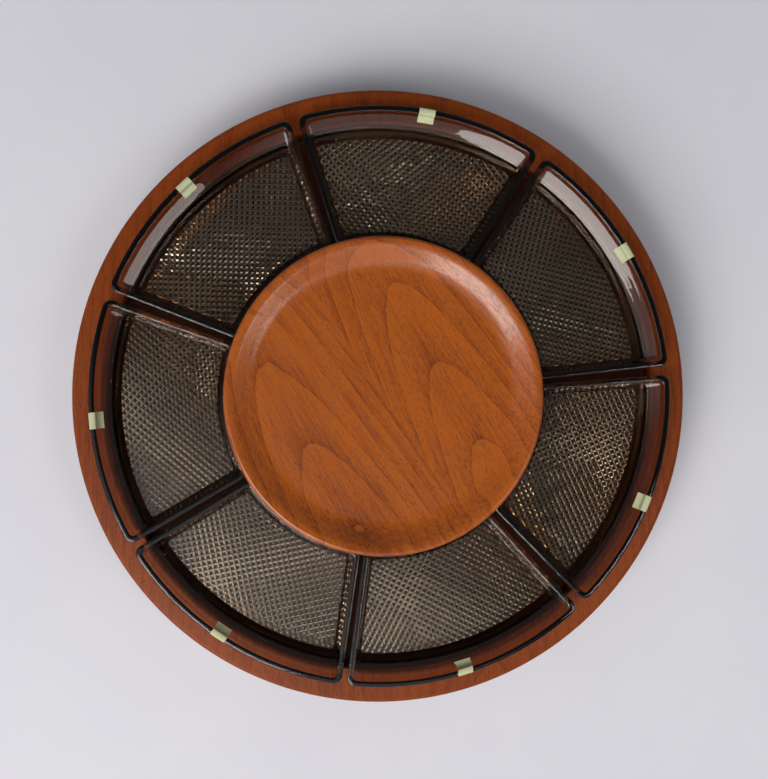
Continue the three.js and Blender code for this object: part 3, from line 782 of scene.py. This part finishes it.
def diamond_pits():
    """The truncated pyramids pressed into the underside, in rows at 45 degrees to the centreline."""
    row = Vector((1, 1)).normalized() * PITCH
    column = Vector((-1, 1)).normalized() * PITCH
    side_normal = Vector((-math.sin(DISH_HALF_ANGLE), math.cos(DISH_HALF_ANGLE)))
    outer, inner, inset, _ = PANEL
    verts, faces = [], []
    reach = int(RIM_OUTER / PITCH)
    for i in range(reach * 2):
        for j in range(-reach, reach):
            centre = row * i + column * j
            corners = [(-1, -1), (1, -1), (1, 1), (-1, 1)]
            touches = any(
                inner < p.length < outer and -side_normal.dot(Vector((p.x, abs(p.y)))) > inset
                for p in (centre + (row * a + column * b) * PIT_MOUTH for a, b in corners))
            if not touches:
                continue
            first = len(verts)
            levels = ((PANEL_LEVEL - 0.4, PIT_MOUTH), (PANEL_LEVEL, PIT_MOUTH),
                      (PANEL_LEVEL + PIT_DEPTH, PIT_END))
            for z, half in levels:
                verts += [tuple(centre + (row * a + column * b) * half) + (z,) for a, b in corners]
            faces += [[first + k for k in range(4)], [first + 8 + k for k in range(4)]]
            for ring in (first, first + 4):
                for k in range(4):
                    n = (k + 1) % 4
                    faces.append([ring + k, ring + n, ring + 4 + n, ring + 4 + k])
    trim = loft("trim", [wedge(*PANEL, z) for z in (-1, PANEL_LEVEL + 2)])
    return combine(make_object("pits", verts, faces), [trim], "INTERSECT")


def glass_dish():
    """One dish, centred on +X with its foot at z = 0."""
    outside, bead, inside = dish_walls()
    outer, inner, inset, corner = PANEL
    underside = [
        (outer - 2, inner + 2, inset + 2, corner - 0.6, PANEL_LEVEL),
        (outer + 0.1, inner - 0.1, inset - 0.1, corner, PANEL_LEVEL),
        (outer + 0.2, inner - 0.3, inset - 0.3, corner, 0.15),
        (outer + 0.4, inner - 0.5, inset - 0.5, corner, 0.0),
        (167.7, 102.2, 4.4, 4.2, 0.0), (168.0, 101.4, 3.8, 4.8, 0.15),
    ]
    floor = [(163.5, 107.5, 9.0, 2.6, GLASS_FLOOR), (158.0, 112.0, 13.0, 2.4, GLASS_FLOOR)]
    dish = loft("dish_pattern", [wedge(*s) for s in underside + outside + bead + inside + floor])
    return combine(dish, [diamond_pits()], "DIFFERENCE")


def paper_tab(name, path, seed, torn):
    """A tab stuck over the rim: a thin closed strip that follows the glass.

    path is the glass surface as (radius, height), from outside the rim to the tab's inner end.
    """
    draw = random.Random(seed)
    width, lift, thick = 10.2, 0.10, 0.14
    rows = len(path)
    skew = draw.uniform(-0.35, 0.35)
    columns = 14
    tangents = []
    for k in range(rows):
        step = Vector(path[min(k + 1, rows - 1)]) - Vector(path[max(k - 1, 0)])
        tangents.append(step.normalized())
    sheets = []
    for height in (lift, lift + thick):
        sheet = []
        for k, (r, z) in enumerate(path):
            normal = Vector((tangents[k].y, -tangents[k].x))
            start, end = -width / 2, width / 2
            share = k / (rows - 1)
            if torn:
                start += 3.6 * math.exp(-((share - 0.62) / 0.16) ** 2) + draw_edge(k, 0.9, seed)
                end -= 2.2 * max(0.0, 0.45 - share) + draw_edge(k + 40, 0.5, seed)
            else:
                start += draw_edge(k, 0.12, seed)
                end += draw_edge(k + 40, 0.12, seed)
            for c in range(columns + 1):
                t = start + (end - start) * c / columns + skew * (share - 0.5)
                point = Vector((r, z)) + normal * height
                angle = t / r
                sheet.append((point.x * math.cos(angle), point.x * math.sin(angle), point.y))
        sheets.append(sheet)
    return sheet_solid(name, sheets, rows, columns + 1)


def draw_edge(k, amount, seed):
    """A small repeatable unevenness for a cut or torn edge."""
    return amount * (random.Random(seed * 1000 + k).random() - 0.5)


def sheet_solid(name, sheets, rows, columns):
    """Closes two grids of points, one above the other, into a thin solid."""
    count = rows * columns
    faces = []
    for offset in (0, count):
        for k in range(rows - 1):
            for c in range(columns - 1):
                a = offset + k * columns + c
                faces.append((a, a + 1, a + columns + 1, a + columns))
    border = list(range(columns))
    border += [k * columns + columns - 1 for k in range(1, rows)]
    border += [(rows - 1) * columns + c for c in range(columns - 2, -1, -1)]
    border += [k * columns for k in range(rows - 2, 0, -1)]
    for one, two in zip(border, border[1:] + border[:1]):
        faces.append((one, two, two + count, one + count))
    return make_object(name, sheets[0] + sheets[1], faces, 50)


def add_dishes():
    pattern = glass_dish()
    outside, bead, inside = dish_walls()
    tab_end = 173.2
    path = [(s[0], s[4]) for s in outside[-2:] + bead + inside if s[0] > tab_end]
    for i in range(DISH_COUNT):
        turn = math.radians(FIRST_DISH_DEG + DISH_LOOSENESS_DEG[i]) + FULL_TURN * i / DISH_COUNT
        dish = bpy.data.objects.new(f"glass_dish_{i + 1}", pattern.data)
        bpy.context.scene.collection.objects.link(dish)
        place(dish, z=DISH_BOTTOM, turn_z=turn)
        settle(dish, SMOKED_GLASS, f"dish_body_{i + 1}", "smoked_glass", f"dish_{i + 1}")
        tab = paper_tab(f"paper_tab_{i + 1}", path, seed=i + 1, torn=i == 5)
        place(tab, z=DISH_BOTTOM, turn_z=turn + math.radians(TAB_OFFSET_DEG[i]))
        settle(tab, PAPER_TAPE, f"dish_body_{i + 1}", "paper_tape", f"tape_{i + 1}")
    bpy.data.objects.remove(pattern)


# ------------------------------------------------------------------ stage, light and camera
OVERHEAD_LIGHT, ROOM_LIGHT, WINDOW_GLOW = 0.09, 0.08, 0.62


def add_floor():
    half, level = 3000, -0.2
    corners = [(-half, -half, level), (half, -half, level), (half, half, level), (-half, half, level)]
    floor = make_object("floor", corners, [(0, 1, 2, 3)])
    floor.data.materials.append(table_paper())


def towards_sky(azimuth_deg, elevation_deg):
    """A unit vector that points that way."""
    azimuth, elevation = math.radians(azimuth_deg), math.radians(elevation_deg)
    return Vector((math.cos(azimuth) * math.cos(elevation), math.sin(azimuth) * math.cos(elevation),
                   math.sin(elevation)))


def add_light(name, azimuth_deg, elevation_deg, distance, size, power, colour):
    """A soft rectangular light aimed at the middle of the tray."""
    data = bpy.data.lights.new(name, "AREA")
    data.shape = "RECTANGLE"
    data.size, data.size_y = size
    data.energy = power
    data.color = colour
    light = bpy.data.objects.new(name, data)
    towards = towards_sky(azimuth_deg, elevation_deg)
    light.location = towards * distance
    light.rotation_euler = towards.to_track_quat("Z", "Y").to_euler()
    bpy.context.scene.collection.objects.link(light)


def add_world():
    """Soft room light: dim straight overhead, brighter round it, brightest round the window."""
    world = bpy.data.worlds.new("room")
    world.use_nodes = True
    bpy.context.scene.world = world
    tree = world.node_tree
    tree.nodes.clear()
    output = tree.nodes.new("ShaderNodeOutputWorld")
    background = tree.nodes.new("ShaderNodeBackground")
    background.inputs["Color"].default_value = (0.95, 0.97, 1.0, 1)
    direction = tree.nodes.new("ShaderNodeTexCoord").outputs["Generated"]
    strength = None
    lobes = ((towards_sky(240, 40), 0.66, 0.80, WINDOW_GLOW), ((0, 0, 1), 0.98, 0.75, ROOM_LIGHT))
    for towards, start, end, amount in lobes:
        facing = tree.nodes.new("ShaderNodeVectorMath")
        facing.operation = "DOT_PRODUCT"
        facing.inputs[1].default_value = towards
        tree.links.new(direction, facing.inputs[0])
        lobe = tree.nodes.new("ShaderNodeMapRange")
        lobe.interpolation_type = "SMOOTHSTEP"
        lobe.inputs["From Min"].default_value = start
        lobe.inputs["From Max"].default_value = end
        lobe.inputs["To Max"].default_value = amount
        tree.links.new(facing.outputs["Value"], lobe.inputs["Value"])
        total = tree.nodes.new("ShaderNodeMath")
        total.inputs[1].default_value = OVERHEAD_LIGHT
        if strength:
            tree.links.new(strength, total.inputs[1])
        tree.links.new(lobe.outputs["Result"], total.inputs[0])
        strength = total.outputs[0]
    tree.links.new(strength, background.inputs["Strength"])
    tree.links.new(background.outputs[0], output.inputs["Surface"])


CAMERA_DISTANCE = 0.600          # from the rim's plane
LENS_MM, SENSOR_MM = 43.73, 36
VIEW_TILT_DEG = (2.99, 0.15)     # off plumb, towards +X and +Y
AIM = Vector((0.00073, 0.00402, RIM_TOP * MM))


def add_camera():
    data = bpy.data.cameras.new("camera")
    data.sensor_width = SENSOR_MM
    data.lens = LENS_MM
    camera = bpy.data.objects.new("camera", data)
    tilt_x, tilt_y = (math.tan(math.radians(tilt)) for tilt in VIEW_TILT_DEG)
    view = Vector((tilt_x, tilt_y, -1)).normalized()
    right = view.cross(Vector((0, 1, 0))).normalized()
    up = right.cross(view)
    turn = Matrix((right, up, -view)).transposed().to_4x4()
    camera.matrix_world = Matrix.Translation(AIM - view * CAMERA_DISTANCE) @ turn
    bpy.context.scene.collection.objects.link(camera)
    bpy.context.scene.camera = camera


add_base()
add_bearing()
add_tray()
add_plate()
add_dishes()
add_floor()
add_world()
add_light("window", azimuth_deg=231, elevation_deg=45, distance=2.5, size=(1.4, 1.4), power=43,
          colour=(1.0, 0.96, 0.92))
add_light("second_window", azimuth_deg=328, elevation_deg=54, distance=1.8, size=(0.5, 0.6), power=3.5,
          colour=(1.0, 0.97, 0.93))
add_camera()
bpy.context.scene.view_settings.view_transform = "Standard"
